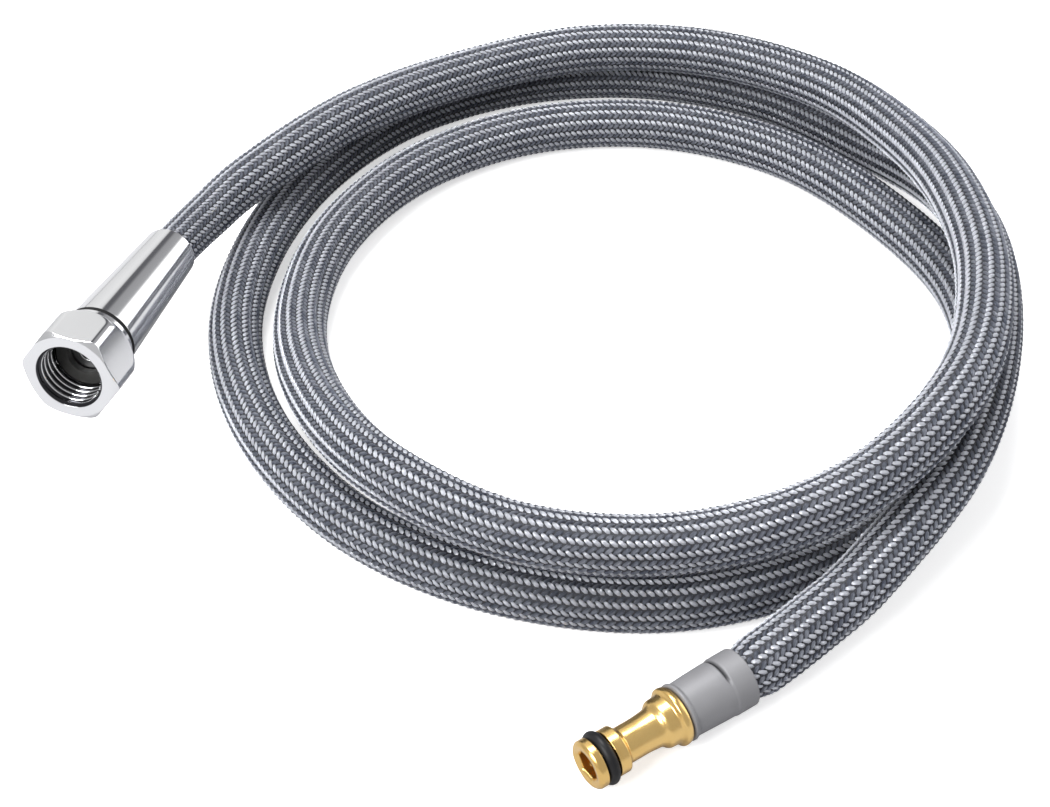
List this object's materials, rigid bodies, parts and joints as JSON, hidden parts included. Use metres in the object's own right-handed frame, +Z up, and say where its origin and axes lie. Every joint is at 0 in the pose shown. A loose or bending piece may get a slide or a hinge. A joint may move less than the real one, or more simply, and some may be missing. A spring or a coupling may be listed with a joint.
{
  "type": "braided supply line",
  "caption": "Flexible braided water hose in a loose coil, with a swivel hex nut under a long cone sleeve at one end and a crimped quick-connect spigot with a seal ring at the other.",
  "frame": {"origin": "on the surface the coil lies on, under the centre of its footprint", "axes": "+Z up, away from the surface; +X to the side opposite the swivel nut; the spigot and the nut's mouth both look towards -Y"},
  "size_m": [0.2456, 0.2744, 0.0451],
  "materials": {
    "braid": "pale blue-grey nylon yarn with dark gaps between the braid's rows",
    "liner": "smooth translucent",
    "chrome_plate": "mirror plated",
    "nut_chrome": "mirror plated",
    "inner_ferrule": "satin",
    "stem_brass": "turned",
    "slip_ring": "matt",
    "washer": "matt",
    "ferrule_steel": "satin grey",
    "spigot_brass": "polished, turned",
    "o_ring": "matt black"
  },
  "bodies": {
    "hose": {"braid_sleeve": "braid", "liner_tube": "liner", "cone_sleeve": "chrome_plate", "spray_ferrule": "inner_ferrule", "spray_stem": "stem_brass", "slip_ring": "slip_ring", "crimp_ferrule": "ferrule_steel", "spigot": "spigot_brass", "o_ring": "o_ring"},
    "nut": {"swivel_nut": "nut_chrome", "sealing_washer": "washer"}
  },
  "joints": [
    {"name": "nut_spin", "type": "hinge", "parent": "hose", "child": "nut", "pos_m": [-0.10967, -0.02983, 0.03038], "axis": [-0.2429, -0.96, 0.1392], "continuous": true}
  ]
}
